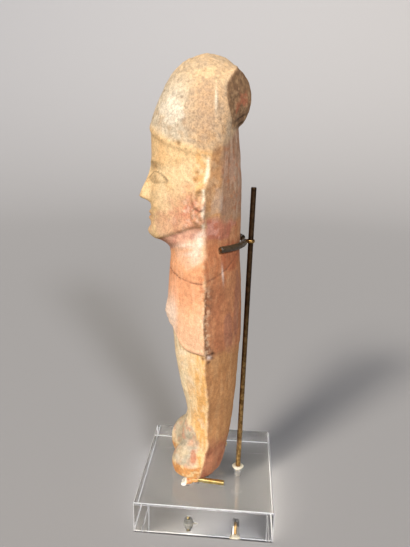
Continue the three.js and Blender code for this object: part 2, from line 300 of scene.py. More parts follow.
def eyes(x, z):
    """Almond eyes in shallow hollows, with lids and a brow above."""
    side = np.abs(x)
    up, gap = eye_gap(x, z)
    ball = 1.9 * np.sqrt(np.clip(1 - gap ** 2, 0, 1))
    lid = np.where(up > 0, 1.0, 0.5) * bump(gap - 1.15, 0.2)
    hollow = 2.6 * bump(side - 9.4, 6.6) * bump(z - EYE_LEVEL - 1, 5)
    brow = bump(z - brow_arch(side), 1.3) * bump(side - 9.5, 6.5)
    return ball + lid + brow - hollow


def mouth(x, z):
    """Calm closed lips, the hollow below them and the chin."""
    line = MOUTH_LEVEL + 0.25 * np.abs(x) / 7
    upper = 1.5 * bump(z - line - 1.5, 1.2) * bump(x, 5.6)
    lower = 1.5 * bump(z - line + 1.6, 1.3) * bump(x, 4.8)
    slit = 1.1 * bump(z - line, 0.5) * bump(x, 5.6)
    groove = 0.4 * bump(x, 1.1) * bump(z - line - 4.6, 2)
    fold = 0.8 * bump(x, 6) * bump(z - CHIN - 0.11 * FACE_HEIGHT, 1.5)
    chin = 1.7 * bump(x, 6.2) * bump(z - CHIN - 0.04 * FACE_HEIGHT, 3.2)
    return upper + lower + chin - slit - groove - fold


def arms(x, z):
    """The forearms, low on the belly: hands meeting in front, fading out towards the elbows."""
    side = np.abs(x)
    along = np.clip((side - 4) / 13, 0, 1)
    middle = 125 + 18 * along
    forearm = (1.0 - 0.7 * along) * bump(z - middle, 4.8) * below(side, 17, 4)
    hand = 1.4 * bump(side - 4, 4.4) * bump(z - 124, 7)
    parting = 1.4 * bump(side, 1.1) * bump(z - 124, 7)
    fingers = 0.3 * np.sin((z - 124) * 1.9) * bump(side - 3.4, 2.4) * bump(z - 123, 4.5)
    return forearm + hand + fingers - parting


def front_relief(x, z):
    """How far the carved forms stand out of the front."""
    cheek = 1.1 * bump(np.abs(x) - 12.5, 5.4) * bump(z - CHIN - 0.33 * FACE_HEIGHT, 6)
    toes = 0.5 * np.sin(np.abs(x) * 1.55) * bump(z - 29, 4) * step(-z, -34, 6)
    return nose(x, z) + eyes(x, z) + mouth(x, z) + cheek + arms(x, z) + toes


def leg_groove(x, z, depth):
    """The groove between the legs, up to the hem."""
    return depth * bump(x, 2.0) * below(z, HEM_SIDE - 6, 12)


def hem_height(share, on_front):
    """The tunic's hem: level at the sides, swept up to the middle of the front."""
    rise = below(share, 0.55, 0.5) if on_front else 0 * share
    return HEM_SIDE + (HEM_FRONT - HEM_SIDE) * rise


def brim_height(x, width):
    """The cap's lower edge: high in front, lower at the seam."""
    return BRIM_FRONT - (BRIM_FRONT - BRIM_SIDE) * np.minimum(np.abs(x) / width, 1) ** 1.6


def jaw_height(y):
    """The edge of the jaw: from under the ear down to the chin."""
    return CHIN - 1 + 9.5 * np.clip((y + 31) / 20, 0, 1) ** 0.8


def collar_height(y):
    """The tunic's neck edge: from the throat up to below the ear."""
    return 161 + 11 * np.clip((y + 25) / 19, 0, 1) ** 0.8


def ear_rim(y, z):
    """How far a place is from the ear's middle: 1 near its rim."""
    return np.hypot((y - EAR[0]) / 3.3, (z - EAR[1]) / 5.4)


def ear_relief(y, z):
    """The ear, a rosette hanging from it and small curls at the temple."""
    rim = ear_rim(y, z)
    ear = 1.9 * bump(rim - 0.9, 0.32) - 0.6 * bump(rim, 0.5)
    across, up = y - ROSETTE[0], z - ROSETTE[1]
    ring = np.hypot(across, up)
    turn = np.arctan2(up, across)
    rosette = 1.4 * bump(ring, 1.5) + 1.3 * bump(ring - 3.4, 0.9) * (0.5 + 0.5 * np.sin(5 * turn))
    curls = sum(0.6 * bump(np.hypot(y + 13 + 1.6 * k, z - 199.5 + 4 * k), 1.3) for k in range(3))
    return ear + rosette + curls


def skin(part, z, on_front):
    """Points of the figure's skin: part runs from -1 to 1 across the front or the back half."""
    width = half_width(z)
    seam = seam_line(z)
    x = width * np.sin(part * np.pi / 2)
    share = np.minimum(np.abs(x) / width, 1)
    fullness = front_fullness(z) if on_front else back_fullness(z)
    sharpness = front_seam(z) if on_front else back_seam(z)
    reach = np.clip(1 - share ** fullness, 0, 1) ** (1 / sharpness)
    depth = (front(z) if on_front else back(z)) - seam
    y = seam + depth * reach
    hem = hem_height(share, on_front)
    tunic = (1.1 if on_front else 0.35) * step(z, hem, 1.0) * below(z, hem + 22, 30)
    out = tunic + 0.3 * bump(1 - share, 0.03)
    if on_front:
        brim = brim_height(x, width)
        out = out + 0.35 * bump(z - hem - 1.6, 1.2) - 0.3 * bump(z - hem + 1.1, 0.8)
        out = out + 0.7 * step(z, brim - 1.5, 2.4) * below(z, brim + 12, 14)
        out = out + 0.5 * bump(x, 14) * bump(z - brim, 2.6)
        jaw = jaw_height(y)
        out = out + 1.4 * step(z, jaw, 1.6) * below(z, jaw + 8, 13) * step(z, CHIN - 3, 3)
        out = out - 0.35 * step(z, collar_height(y), 0.9) * below(z, jaw - 1.5, 2)
        out = out + ear_relief(y, z)
        y = y - front_relief(x, z) * reach + leg_groove(x, z, 3.4)
    else:
        y = y - leg_groove(x, z, 1.6)
    away_x = x / width
    away_y = reach * np.sign(depth)
    size = np.maximum(np.hypot(away_x, away_y), 1e-6)
    return x + out * away_x / size, y + out * away_y / size


def round_turn(sides):
    """Equal angles round a circle."""
    return 2 * np.pi * np.arange(sides) / sides


def ring_faces(strips, rows, size):
    """Faces between neighbouring rings of that size; after the last row comes the first."""
    faces = []
    for k in range(strips):
        low, high = k * size, (k + 1) % rows * size
        for i in range(size):
            n = (i + 1) % size
            faces.append((low + i, low + n, high + n, high + i))
    return faces


def grid_mesh(rings):
    """Vertices and faces of a closed skin over rings of equally many points."""
    rows, size = rings.shape[:2]
    places = rings.reshape(-1, 3)
    ends = rings[[0, -1]].mean(axis=1)
    faces = ring_faces(rows - 1, rows, size)
    top = (rows - 1) * size
    for i in range(size):
        faces.append((rows * size, (i + 1) % size, i))
        faces.append((rows * size + 1, top + i, top + (i + 1) % size))
    return np.vstack([places, ends]), faces


def joined(parts):
    """Several meshes' places and faces as one list of each."""
    places, faces = [], []
    for part_places, part_faces in parts:
        offset = sum(len(part) for part in places)
        places.append(part_places)
        faces += [tuple(i + offset for i in face) for face in part_faces]
    return np.vstack(places), faces


def body_mesh():
    """The body from sole to crown."""
    high = 1 - np.linspace(0, 1, 26) ** 2
    heights = np.concatenate([
        np.arange(SOLE, CROWN_START, RING_STEP), CROWN - (CROWN - CROWN_START) * high])
    across = 2 * np.arange(150) / 150 - 1
    behind = 1 - 2 * np.arange(84) / 84
    z = np.unique(np.round(heights, 4))[:, None]
    ahead = skin(across[None, :], z, True)
    after = skin(behind[None, :], z, False)
    x = np.hstack([ahead[0], after[0]])
    y = np.hstack([ahead[1], after[1]])
    return grid_mesh(np.dstack([x, y, np.broadcast_to(z, x.shape)]))


def lump(half, centre, sides=72, rows=44):
    """A sphere stretched to its half sizes."""
    turn = round_turn(sides)
    lift = np.pi * (np.arange(1, rows) / rows - 0.5)[:, None]
    x = centre[0] + half[0] * np.cos(lift) * np.cos(turn)
    y = centre[1] + half[1] * np.cos(lift) * np.sin(turn)
    z = centre[2] + half[2] * np.sin(lift) + 0 * turn
    return grid_mesh(np.dstack([x, y, z]))


def foot(side, toe, tall):
    """A foot: a long rounded lump, flat at the sole."""
    half = (10.6, (HEEL - toe) / 2, tall)
    places, faces = lump(half, (side * 10.2, (HEEL + toe) / 2, SOLE + tall - 7))
    places[:, 2] = np.maximum(places[:, 2], SOLE)
    return places, faces


def arris_place(z):
    """How far back the cap lump's arris lies: bowed forward at the middle of its height."""
    above = np.clip((z - 247) / 8, 0, 1) ** 1.2
    below = np.clip((241 - z) / 10, 0, 1) ** 1.3
    return 4 + 5 * above + 2.6 * below


def cap_lump():
    """The rolled lump at the back of the cap, its back sloping in from an arris down each side."""
    wide, deep = LUMP_HALF[:2]
    places, faces = lump(LUMP_HALF, (0, 0, 0), 96, 52)
    level = np.hypot(places[:, 0] / wide, places[:, 1] / deep)
    share = np.minimum(np.abs(places[:, 0]) / (wide * np.maximum(level, 1e-6)), 1)
    arris = arris_place(places[:, 2] + LUMP_HEIGHT) - 4.2
    sloped = arris + np.maximum(deep * level - arris, 0) * (1 - share ** 1.35)
    below = np.clip(-(places[:, 2] + 3) / 13, 0, 1)
    places[:, 1] = np.where(places[:, 1] > 0, sloped, places[:, 1]) + 1.8 * below ** 2
    places[:, 0] *= 1 - 0.4 * below
    return places + (0, LUMP_Y, LUMP_HEIGHT), faces


def added(name, data):
    """A new object in the scene, with that data."""
    piece = bpy.data.objects.new(name, data)
    bpy.context.collection.objects.link(piece)
    return piece


def new_object(name, places, faces):
    """A smooth mesh object from places in metres."""
    mesh = bpy.data.meshes.new(name)
    mesh.from_pydata([tuple(place) for place in places], [], faces)
    mesh.validate()
    mesh.polygons.foreach_set("use_smooth", [True] * len(mesh.polygons))
    return added(name, mesh)


def in_mm(box):
    """A box's two corners, in millimetres."""
    return [np.array(corner) / MM for corner in box]


def applied(piece):
    """Turns the piece's modifiers into its mesh."""
    graph = bpy.context.evaluated_depsgraph_get()
    mesh = bpy.data.meshes.new_from_object(piece.evaluated_get(graph))
    piece.modifiers.clear()
    old = piece.data
    piece.data = mesh
    bpy.data.meshes.remove(old)
    mesh.name = piece.name
    return piece


def remeshed(piece, size):
    """Joins the piece's parts into one skin with cells of that size in millimetres."""
    remesh = piece.modifiers.new("skin", "REMESH")
    remesh.mode = "VOXEL"
    remesh.voxel_size = size * MM
    remesh.use_smooth_shade = True
    return applied(piece).data


def places_of(mesh):
    """The mesh's vertices, in millimetres."""
    flat = np.empty(3 * len(mesh.vertices))
    mesh.vertices.foreach_get("co", flat)
    return flat.reshape(-1, 3) / MM


def put_places(mesh, places):
    """Moves the mesh's vertices to places in millimetres."""
    mesh.vertices.foreach_set("co", (places * MM).ravel())
    mesh.update()


def normals_of(mesh):
    """The mesh's normals at its vertices."""
    flat = np.empty(3 * len(mesh.vertices), np.float32)
    mesh.vertex_normals.foreach_get("vector", flat)
    return flat.reshape(-1, 3).astype(float)


def blended(base, other, cover):
    """The base turned into the other as far as cover says, row by row."""
    return base * (1 - cover[:, None]) + other * cover[:, None]


def smoothed(places, pairs, rounds, swell=0.52):
    """Eases each vertex towards the mean of its neighbours, and swells it back against shrinking."""
    count = np.bincount(pairs.ravel(), minlength=len(places))[:, None]
    for k in range(2 * rounds):
        total = np.zeros_like(places)
        np.add.at(total, pairs[:, 0], places[pairs[:, 1]])
        np.add.at(total, pairs[:, 1], places[pairs[:, 0]])
        share = 0.5 if k % 2 == 0 else -swell
        places = places + share * (total / count - places)
    return places


def crack_height(places):
    """The mended break round the chest, higher at the back."""
    wander = 1.6 * (cloud(places * (1, 1, 0), 7, 91) - 0.5)
    wander += 0.7 * (noise(places * (1, 1, 0), 1.7, 95) - 0.5)
    return 146.4 + 0.026 * (places[:, 1] + 11) ** 2 + wander


def pit_gap(places):
    """Distance to the nearest small pit, in units of 3.2 mm."""
    return spots(places, 3.2, 41, 0.5)


def worn(places, normals):
    """Moves the smooth skin to its worn, pitted and cracked state."""
    x, y, z = places.T
    behind = y - seam_line(z)
    at_seam = edge_on(x, z)
    cap = step(z, brim_height(x, half_width(z)) + 3, 5)
    out = 0.5 * (cloud(places, 16, 11) - 0.5) + 0.36 * (cloud(places, 4.5, 21) - 0.5)
    out += (0.12 + 0.28 * cap) * (cloud(places, 1.7, 31, 2) - 0.5)
    out -= (0.12 + 0.2 * cap) * bump(pit_gap(places), 0.22)
    out -= 0.3 * bump(spots(places, 9, 51, 0.4), 0.09)
    out += bump(behind, 1.1) * at_seam * (0.1 + 0.6 * (cloud(places, 5, 65, 3) - 0.3))
    low_seam = step(z, 104, 3) * below(z, 146, 10) * at_seam
    out -= 0.8 * low_seam * bump(behind - 1.7, 0.9)
    crumbs = bump(behind - 1.2, 2.6) * low_seam
    out += 0.8 * crumbs * (cloud(places, 1.5, 61, 2) - 0.45)
    nape = step(z, 172, 8) * below(z, 226, 6) * step(np.abs(x), 12, 6)
    off = y - 2 - 0.6 * np.sin(z / 6.5) - 0.4 * np.sin(z / 2.7)
    out += 0.9 * nape * np.exp(-np.hypot(off, 1.1) / 2.6)
    out += 0.7 * foot_seam(x, y, z)
    out -= 0.3 * bump(z - crack_height(places), 0.42)
    out += lump_folds(x, y, z) + chips(places)
    moved = places + normals * out[:, None]
    moved[:, 2] = np.maximum(moved[:, 2], SOLE)
    return moved


def rubbed_seam(places):
    """Where the seam is rubbed soft: beside the neck and, less, beside the head and the cap."""
    x, y, z = places.T
    neck = step(z, 140, 12) * below(z, 175, 6) * bump(y - ridge(z), 7)
    head = 0.4 * step(z, 175, 6) * below(z, 226, 8) * bump(y - ridge(z), 2.4)
    return (neck + head) * edge_on(x, z)


def foot_seam(x, y, z):
    """The mould's seam where it runs on over the foot, slanting forward."""
    slanted = y + 1.4 + 0.24 * (45 - z)
    return np.exp(-np.abs(slanted) / 2) * below(z, 46, 8) * step(np.abs(x), 11, 5)


def fold_lines(x, y, z, reach):
    """1 along two slanted folds low on one side of the cap's lump, the lower one reach wide."""
    slant = z - 0.62 * y
    lines = bump(slant - 220.6, reach) + bump(slant - 223.6, 0.6)
    return lines * bump(y - 12.5, 4.4) * bump(z - 230, 4.2) * step(x, 1, 2)


def lump_folds(x, y, z):
    """The folds low on the cap's lump, and the crease beside its seam."""
    crease = 0.7 * bump(y + 1.7, 0.8) * bump(z - 240, 4.6) * step(np.abs(x), 17, 4)
    return crease - fold_lines(x, y, z, 0.55)


def chips(places):
    """The notches and the chip at the hem beside the seam, and other small losses."""
    x, y, z = places.T
    near = step(np.abs(x), 13, 4)
    out = np.zeros(len(places))
    for (across, height), reach, depth in [loss[:3] for loss in LOSSES] + [TOE_CHIP]:
        out -= depth * bump(np.hypot(y - across, z - height), reach) * near
    return out


def make_statuette():
    """The fired clay figure as one skin, worn and painted."""
    feet = [foot(side, toe, tall) for side, toe, tall in FEET]
    places, faces = joined([body_mesh(), *feet, cap_lump()])
    piece = new_object("clay_figure", places * MM, faces)
    mesh = remeshed(piece, VOXEL)
    pairs = np.empty(2 * len(mesh.edges), np.int64)
    mesh.edges.foreach_get("vertices", pairs)
    pairs = pairs.reshape(-1, 2)
    rest = smoothed(places_of(mesh), pairs, 3)
    rest = blended(rest, smoothed(rest, pairs, 20), step(rest[:, 2], CROWN_START, 10))
    rest = blended(rest, smoothed(rest, pairs, 24, -0.5), rubbed_seam(rest))
    put_places(mesh, rest)
    moved = worn(rest, normals_of(mesh))
    low, high = in_mm(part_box("statuette"))
    turned = turn_about_z(moved, FIGURE_TURN)
    put_places(mesh, np.clip(turned, low, high))
    paint_figure(mesh, rest)
    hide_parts("statuette")
    finish_piece(piece, fired_clay())


def turn_about_z(places, angle):
    """The places turned about the upright axis."""
    cos, sin = math.cos(angle), math.sin(angle)
    x, y, z = places.T
    return np.stack([x * cos - y * sin, x * sin + y * cos, z], axis=1)


def finish_piece(piece, material):
    """Gives the piece its material and its body."""
    piece.data.materials.clear()
    piece.data.materials.append(material)
    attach(piece, "root")


# The figure's paint and dirt, one colour a vertex, from named colours and soft edged areas

def colour(code):
    """A linear colour from a hexadecimal screen colour."""
    values = np.array([int(code[i:i + 2], 16) for i in (0, 2, 4)]) / 255
    return np.where(values <= 0.04045, values / 12.92, ((values + 0.055) / 1.055) ** 2.4)


def laid(base, code, cover):
    """The colour code laid over the base, as thick as cover says."""
    return blended(base, colour(code), np.clip(cover, 0, 1))


class Skin:
    """What the painting needs to know of each vertex of the figure, and its paint so far."""

    def __init__(self, places):
        x, y, z = places.T
        self.places, self.x, self.y, self.z = places, x, y, z
        self.paint = np.tile(colour("C99C68"), (len(places), 1))
        self.side = np.abs(x)
        self.width = half_width(z)
        self.share = self.side / self.width
        self.edge_on = edge_on(x, z)
        self.ragged = 2 * (cloud(places, 6, 101) - 0.5)
        self.fine = 2 * (cloud(places, 1.7, 111, 3) - 0.5)
        self.streaks = 2 * (cloud(places * (1, 1, 0.16), 2.2, 141, 3) - 0.5)
        self.past = y - seam_line(z) + 0.17 * np.clip(45 - z, 0, None)
        soft = step(z, 138, 14) * below(z, 176, 8)
        self.behind = step(self.past, 0.5 + 0.4 * self.fine + soft * self.ragged, 1.2 + 4 * soft)
        self.ahead = 1 - self.behind
        self.hem = hem_height(self.share, True) + 0.3 * self.fine
        self.brim = brim_height(x, self.width)
        self.tunic = step(z, self.hem, 0.9) * below(z, 167 + 2 * self.ragged, 7)

    def lay(self, code, cover):
        """Lays a colour over the paint so far, as thick as cover says."""
        self.paint = laid(self.paint, code, cover)

    def fleck(self, code, area, amount, *kind):
        """Lays ragged flecks of a colour over an area: their size, edge, seed and softness."""
        self.lay(code, area * self.flecks(*kind) * amount)

    def streak(self, code, area, amount, edge, width, sign=1):
        """Lays upright streaks of a colour over an area; the other sign fills the gaps."""
        self.lay(code, area * step(sign * self.streaks, edge, width) * amount)

    def patch(self, centre, reach, side=0, ragged=0.6, seed=7):
        """A ragged patch round a (y, z) place, on one side or both."""
        gap = np.hypot((self.y - centre[0]) / reach[0], (self.z - centre[1]) / reach[1])
        gap = gap + ragged * 2 * (cloud(self.places, 6, seed, 5) - 0.5)
        area = below(gap, 1, 0.35)
        if side:
            area = area * step(side * self.x, 4, 6)
        return area

    def flecks(self, size, edge, seed, soft=0.1):
        """Ragged flecks of that size over the figure."""
        return flecks(self.places, size, edge, seed, soft)


def paint_figure(mesh, places):
    """Lays the grounds, slip, red paint and dirt, with painted shade on the back half, and stores
    them as a colour attribute.
    """
    at = Skin(places)
    for layer in (paint_legs, paint_feet, paint_tunic, paint_neck, paint_head, paint_features,
                  paint_cap, paint_seam, paint_losses):
        layer(at)
    tone_and_shade = 1 + 0.08 * at.fine + 0.06 * at.ragged + 0.05 * at.streaks
    cap = step(at.z, at.brim + 4 + 2 * at.ragged, 6)
    # Painted shade: the back half below the cap is darkened by up to a fifth.
    tone_and_shade = tone_and_shade * (1 - 0.2 * at.behind * (1 - cap))
    tone_and_shade = tone_and_shade * (1 - 0.1 * at.ahead * bump(at.z - 174, 18))
    tone_and_shade = tone_and_shade * (1 - 0.12 * at.ahead * below(at.z, 50, 12))
    face = step(at.z, jaw_height(at.y), 3) * at.ahead
    grit = np.maximum(cap * (1 - 0.4 * step(at.z, 240, 14)), 0.6 * face)
    store_paint(mesh, at.paint * tone_and_shade[:, None], grit)


def store_paint(mesh, paint, grit):
    """Stores each vertex's colour, with how gritty it is as the fourth number."""
    attribute = mesh.color_attributes.new("paint", "FLOAT_COLOR", "POINT")
    full = np.clip(np.column_stack([paint, grit]), 0, 1).astype(np.float32)
    attribute.data.foreach_set("color", full.ravel())


def paint_legs(at):
    """Legs: ochre near the seam, whitish cream in front, brown behind."""
    at.lay("DDB070", at.ahead)
    cream = at.ahead * step(-at.y, 11 + 2 * at.ragged, 9)
    at.lay("E9D2AA", cream * 0.9)
    at.lay("D79A50", at.ahead * bump(at.past + 3, 3.4) * (0.45 + 0.4 * at.streaks))
    at.streak("EBD8B0", at.ahead, 0.35, 0.1, 0.3)
    at.streak("C98A4C", at.ahead, 0.25, 0.15, 0.3, -1)
    at.fleck("EDE0C6", at.ahead, 0.35, 4, 0.62, 157, 0.2)
    at.lay("B98250", at.behind * 0.85)
    at.fleck("AC7546", at.behind, 0.4, 9, 0.5, 161, 0.3)
    at.streak("8F5F3C", at.behind, 0.27, 0.12, 0.3)
    at.streak("D3A574", at.behind, 0.27, 0.2, 0.3, -1)


def paint_feet(at):
    """Feet: a white ground with pink left in it, orange toes and a red patch."""
    white = at.patch((-15, 43), (9.5, 12), seed=5) * at.ahead
    at.lay("B8A88C", white * (0.7 + 0.3 * at.fine))
    at.fleck("928E7C", white, 0.6, 5, 0.54, 163, 0.2)
    at.fleck("D89C7C", white, 0.6, 4, 0.56, 165, 0.2)
    at.fleck("CDBFA6", white, 0.5, 2.4, 0.56, 166)
    toes = below(at.z, 31.5 + 1.5 * at.ragged, 2)
    at.lay("D4924E", toes * at.ahead * step(-at.y, 5.5, 2) * 0.9)
    at.fleck("B4703A", toes, 0.5, 3, 0.55, 167)
    at.fleck("EBCF9A", toes * at.ahead, 0.7, 2.6, 0.56, 169)
    red = at.patch((-9.2, 37.8), (2.2, 3.4), 1, 0.9)
    at.lay("C07A58", red * (0.7 + 0.4 * at.fine))
    heel = at.behind * below(at.z, 44 + 3 * at.ragged, 12)
    at.lay("B9755A", heel * 0.6)
    at.fleck("8E4F36", heel, 0.55, 3.5, 0.53, 171)


def paint_tunic(at):
    """Tunic: salmon red, paler low in front, brown red behind the seam."""
    front_half = at.tunic * at.ahead
    back_half = step(at.z, 106 + 5 * at.ragged, 9) * below(at.z, 180 + 3 * at.ragged, 7)
    back_half = back_half * at.behind
    at.lay("DF9B6C", front_half)
    at.lay("D5845A", front_half * at.patch((-17, 142), (8, 10), 0, 0.9, 45) * 0.4)
    at.fleck("E8AC80", front_half, 0.4, 12, 0.5, 173, 0.3)
    at.streak("EBB68E", front_half, 0.35, 0.15, 0.3)
    low = below(at.z, 128 + 3 * at.ragged, 34)
    at.lay("E6B892", front_half * low * 0.85)
    lobe = step(-at.y, 20.4 + 0.5 * at.ragged, 4) * bump(at.z - 125, 12)
    at.lay("F0DCC8", front_half * lobe * 0.7)
    rubbed = at.patch((-4.5, 143), (4, 12), seed=19) * at.tunic
    at.fleck("BC6A44", rubbed, 0.5, 3, 0.46, 177, 0.2)
    at.lay("C5865A", back_half * 0.95)
    at.fleck("B4704A", back_half, 0.55, 10, 0.5, 179, 0.3)
    at.fleck("9A5838", back_half, 0.4, 2.4, 0.56, 181, 0.2)
    at.streak("D2A074", back_half, 0.35, 0.12, 0.25, -1)
    at.streak("9E6644", back_half, 0.38, 0.1, 0.25)
    violet = at.patch((8.6, 116), (2.4, 14), seed=23) + at.patch((13, 128), (1.6, 20), seed=24)
    at.lay("8A6056", violet * back_half * 0.35)
    at.lay("B46C3E", at.patch((3, 157), (9, 9), 0, 0.9, 26) * back_half * 0.4)
    at.lay("A45236", at.patch((9, 160), (5, 8), seed=25) * back_half * 0.45)


def paint_neck(at):
    """Neck: a mauve pink shade under the jaw, then white slip brushed down from the ear."""
    under = step(at.z, collar_height(at.y), 1) * below(at.z, jaw_height(at.y), 1) * at.ahead
    at.lay("D59C80", under * 0.9)
    at.fleck("B87A66", under, 0.5, 3, 0.52, 185)
    down = bump(at.y + 7.5 + 0.2 * (175 - at.z), 2.9) * below(at.z, 174, 4)
    down = down * step(at.z, 157 + 2 * at.ragged, 8)
    level = at.z - 0.2 * (at.y + 10.5)
    across = bump(level - 167.3, 1.3) * bump(at.y + 14.5, 5.5)
    across = across + 0.8 * bump(level - 162.5, 1.2) * bump(at.y + 13.5, 3.5)
    brushed = np.clip(down + across, 0, 1) * step(at.side, 8, 6)
    at.lay("EEDDC8", brushed * (0.85 + 0.4 * at.fine + 0.5 * at.streaks) * at.ahead)
    at.lay("E8BC9C", at.patch((-13, 161), (7, 8), 1, 1, 34) * at.ahead * 0.45)
    pink = at.patch((2, 176), (8, 7), seed=31) * at.behind
    at.lay("B46A58", pink * 0.6)
    at.fleck("D8A08C", pink, 0.5, 3, 0.55, 187)


def paint_head(at):
    """Head: yellow cream with a pink orange cheek, speckled ochre and grey brown behind."""
    head = step(at.z, jaw_height(at.y), 1.2) * at.ahead
    at.lay("DDB986", head)
    at.fleck("E6CA9C", head, 0.6, 12, 0.5, 189, 0.3)
    at.fleck("D4A56E", head, 0.45, 5, 0.56, 191, 0.2)
    jaw = at.patch((-22, 176), (13, 8), 0, 0.8, 233)
    at.lay("C8967A", jaw * head * 0.5)
    cheek = bump(np.hypot((at.y + 13) / 9, (at.z - 183) / 10) + 0.35 * at.ragged, 1.15)
    at.lay("CB8A68", cheek * head)
    at.fleck("BE745A", cheek * head, 0.7, 3, 0.54, 193)
    at.fleck("E8C4A8", cheek * head, 0.6, 2.4, 0.6, 195)
    temple = step(at.y, -12 + 2 * at.ragged, 4) * step(at.z, 193, 5) * head
    at.fleck("D9A262", temple, 0.7, 3.2, 0.48, 197)
    nape = at.behind * step(at.z, 181 + 3 * at.ragged, 6)
    at.lay("CBA074", nape)
    rear = nape * step(at.y, 2 + 1.5 * at.ragged + at.fine, 3.5)
    band = nape - rear
    at.fleck("C98F56", band, 0.6, 4, 0.47, 199, 0.3)
    at.fleck("9C6A40", band, 0.45, 1.8, 0.57, 201)
    at.lay("AE8668", rear * 0.85)
    at.fleck("A07A62", rear, 0.5, 7, 0.48, 203, 0.3)
    at.streak("D8BCA2", rear, 0.4, 0.12, 0.25)
    rust = rear * (at.flecks(2, 0.6, 205) + 0.5 * at.patch((6, 206), (4, 9), 0, 1, 47))
    at.lay("BE7446", rust * 0.4)
    pale = at.patch((0, 190), (3, 6), 0, 1.2, 49) * nape
    at.lay("DDCFC2", pale * 0.2)


def paint_features(at):
    """Faded dark lines at the brows and the lids, red left on the lips, and a painted shadow line
    along the jaw's edge.
    """
    up, gap = eye_gap(at.x, at.z)
    rim = bump(gap - 1.1, 0.13) * (0.6 + 0.4 * step(up, 0, 0.4))
    pupil = bump(np.hypot(at.side - 10, at.z - EYE_LEVEL - 0.8), 1.3)
    brow = bump(at.z - brow_arch(at.side) - 0.2, 0.8) * bump(at.side - 9.5, 6)
    lips = bump(at.z - MOUTH_LEVEL, 2.2) * bump(at.x, 5.4)
    at.lay("6B5A3E", at.ahead * (rim + 0.8 * pupil) * (0.65 + 0.4 * at.fine))
    at.lay("7A6844", at.ahead * brow * (0.65 + 0.4 * at.fine))
    at.lay("B4604A", at.ahead * lips * 0.55)
    loops = np.hypot(at.y - ROSETTE[0], at.z - ROSETTE[1])
    dark = bump(loops - 4.9, 0.5) + bump(loops - 2, 0.5)
    dark = dark + bump(ear_rim(at.y, at.z) - 0.45, 0.18)
    at.lay("8C6A40", at.ahead * dark * step(at.side, 14, 4) * (0.5 + 0.5 * at.fine))
    # Painted shadow: a dark line along the edge of the jaw.
    jaw = bump(at.z - jaw_height(at.y) - 0.2, 0.8) * step(at.side, 8, 6) * at.ahead
    at.fleck("A4683F", jaw, 0.6, 4, 0.42, 231, 0.3)


def paint_cap(at):
    """Cap: cream with grey and brown grit, whiter in front with a painted highlight, tan on top, and
    dark on the lump, where painted shade behind its arris lies over the lump's own brown.
    """
    back_edge = step(at.y, 9 + at.ragged, 6) * below(at.z, 225, 4)
    cap = step(at.z, at.brim + 3 + 2 * at.ragged, 6) * (1 - back_edge)
    at.lay("DDC298", cap)
    at.lay("EBDCC0", cap * step(-at.y, 17 + 4 * at.ragged, 12) * 0.75)
    at.lay("E0BC8C", cap * step(at.z, 248 + 3 * at.ragged, 12) * 0.75)
    tan = step(at.y, -12 + 3 * at.ragged, 12) * (1 - 0.7 * step(at.z, 246, 10))
    at.lay("CFA478", cap * tan * 0.7)
    low = cap * bump(at.z - at.brim - 8, 8)
    at.fleck("B8A488", low, 0.25, 3, 0.46, 207, 0.3)
    at.fleck("C4935C", low, 0.4, 2.4, 0.58, 209, 0.2)
    greyed = at.flecks(9, 0.44, 213, 0.3)
    at.lay("A2937C", cap * greyed * (0.45 + 0.35 * at.fine))
    side = cap * at.patch((-9, 234), (9, 15), 0, 0.9, 235)
    at.lay("B08E6C", side * (0.5 + 0.35 * at.fine))
    at.fleck("93806C", cap, 0.35, 1.6, 0.55, 211, 0.2)
    # Painted highlight: a pale patch on the front of the cap.
    at.lay("F2E8D2", cap * at.patch((-24, 236), (5, 7), 0, 1.2, 217) * 0.35)
    # Painted shade over the lump's own brown: dark brown behind the arris, where the lump turns away
    # from the light.
    shaded_bun = step(at.y, arris_place(at.z) - 0.2 + 0.5 * at.ragged, 1.2) * step(at.z, 226, 3)
    at.lay("82603F", shaded_bun * 0.9)
    at.fleck("6E5038", shaded_bun, 0.6, 3, 0.47, 219)
    red = at.patch((12.5, 240), (3.4, 5), 1, 1.4, 43) * shaded_bun
    at.lay("B9694A", red * (0.5 + 0.4 * at.fine))
    at.fleck("B8946C", shaded_bun, 0.5, 1.8, 0.6, 221)


def paint_seam(at):
    """The seam: a broken pale stripe on the head; low on the tunic crumbly, and dark in its groove
    with grit and painted shade; and the mended break.
    """
    broken = step(noise(at.places, 4.5, 229), 0.42, 0.3)
    stripe = bump(at.past + 0.9, 0.8 + 0.25 * at.ragged) * at.edge_on * broken
    stripe = stripe * step(at.z, 172, 4) * below(at.z, 213 + 3 * at.ragged, 4)
    at.lay("F5E8CA", stripe * (0.8 + 0.5 * at.fine))
    worn_edge = bump(at.past, 0.9) * at.edge_on * below(at.z, 168, 5)
    at.fleck("E2B88A", worn_edge, 0.7, 2, 0.48, 223)
    low = step(at.z, 103, 2) * below(at.z, 144 + 4 * at.ragged, 16) * at.edge_on
    # Painted shade with dark grit: the groove behind the seam low on the tunic is darkened.
    shaded_gutter = bump(at.past - 2.5, 2.1 + 0.5 * at.ragged) * low
    at.lay("74503A", shaded_gutter * (0.4 + 0.7 * at.fine + 0.3 * at.flecks(1.6, 0.5, 237)))
    crumbs = bump(at.past - 0.6, 2.4) * low * at.flecks(1.4, 0.57, 225)
    at.lay("E6C29C", crumbs * 0.8)
    crack = bump(at.z - crack_height(at.places), 0.4)
    at.lay("7A4A34", crack * (0.2 + 0.65 * at.flecks(5, 0.46, 227, 0.3)))
    pits = bump(pit_gap(at.places), 0.18)
    at.lay("7A5C44", pits * (0.2 + 0.5 * step(at.z, at.brim, 3)))


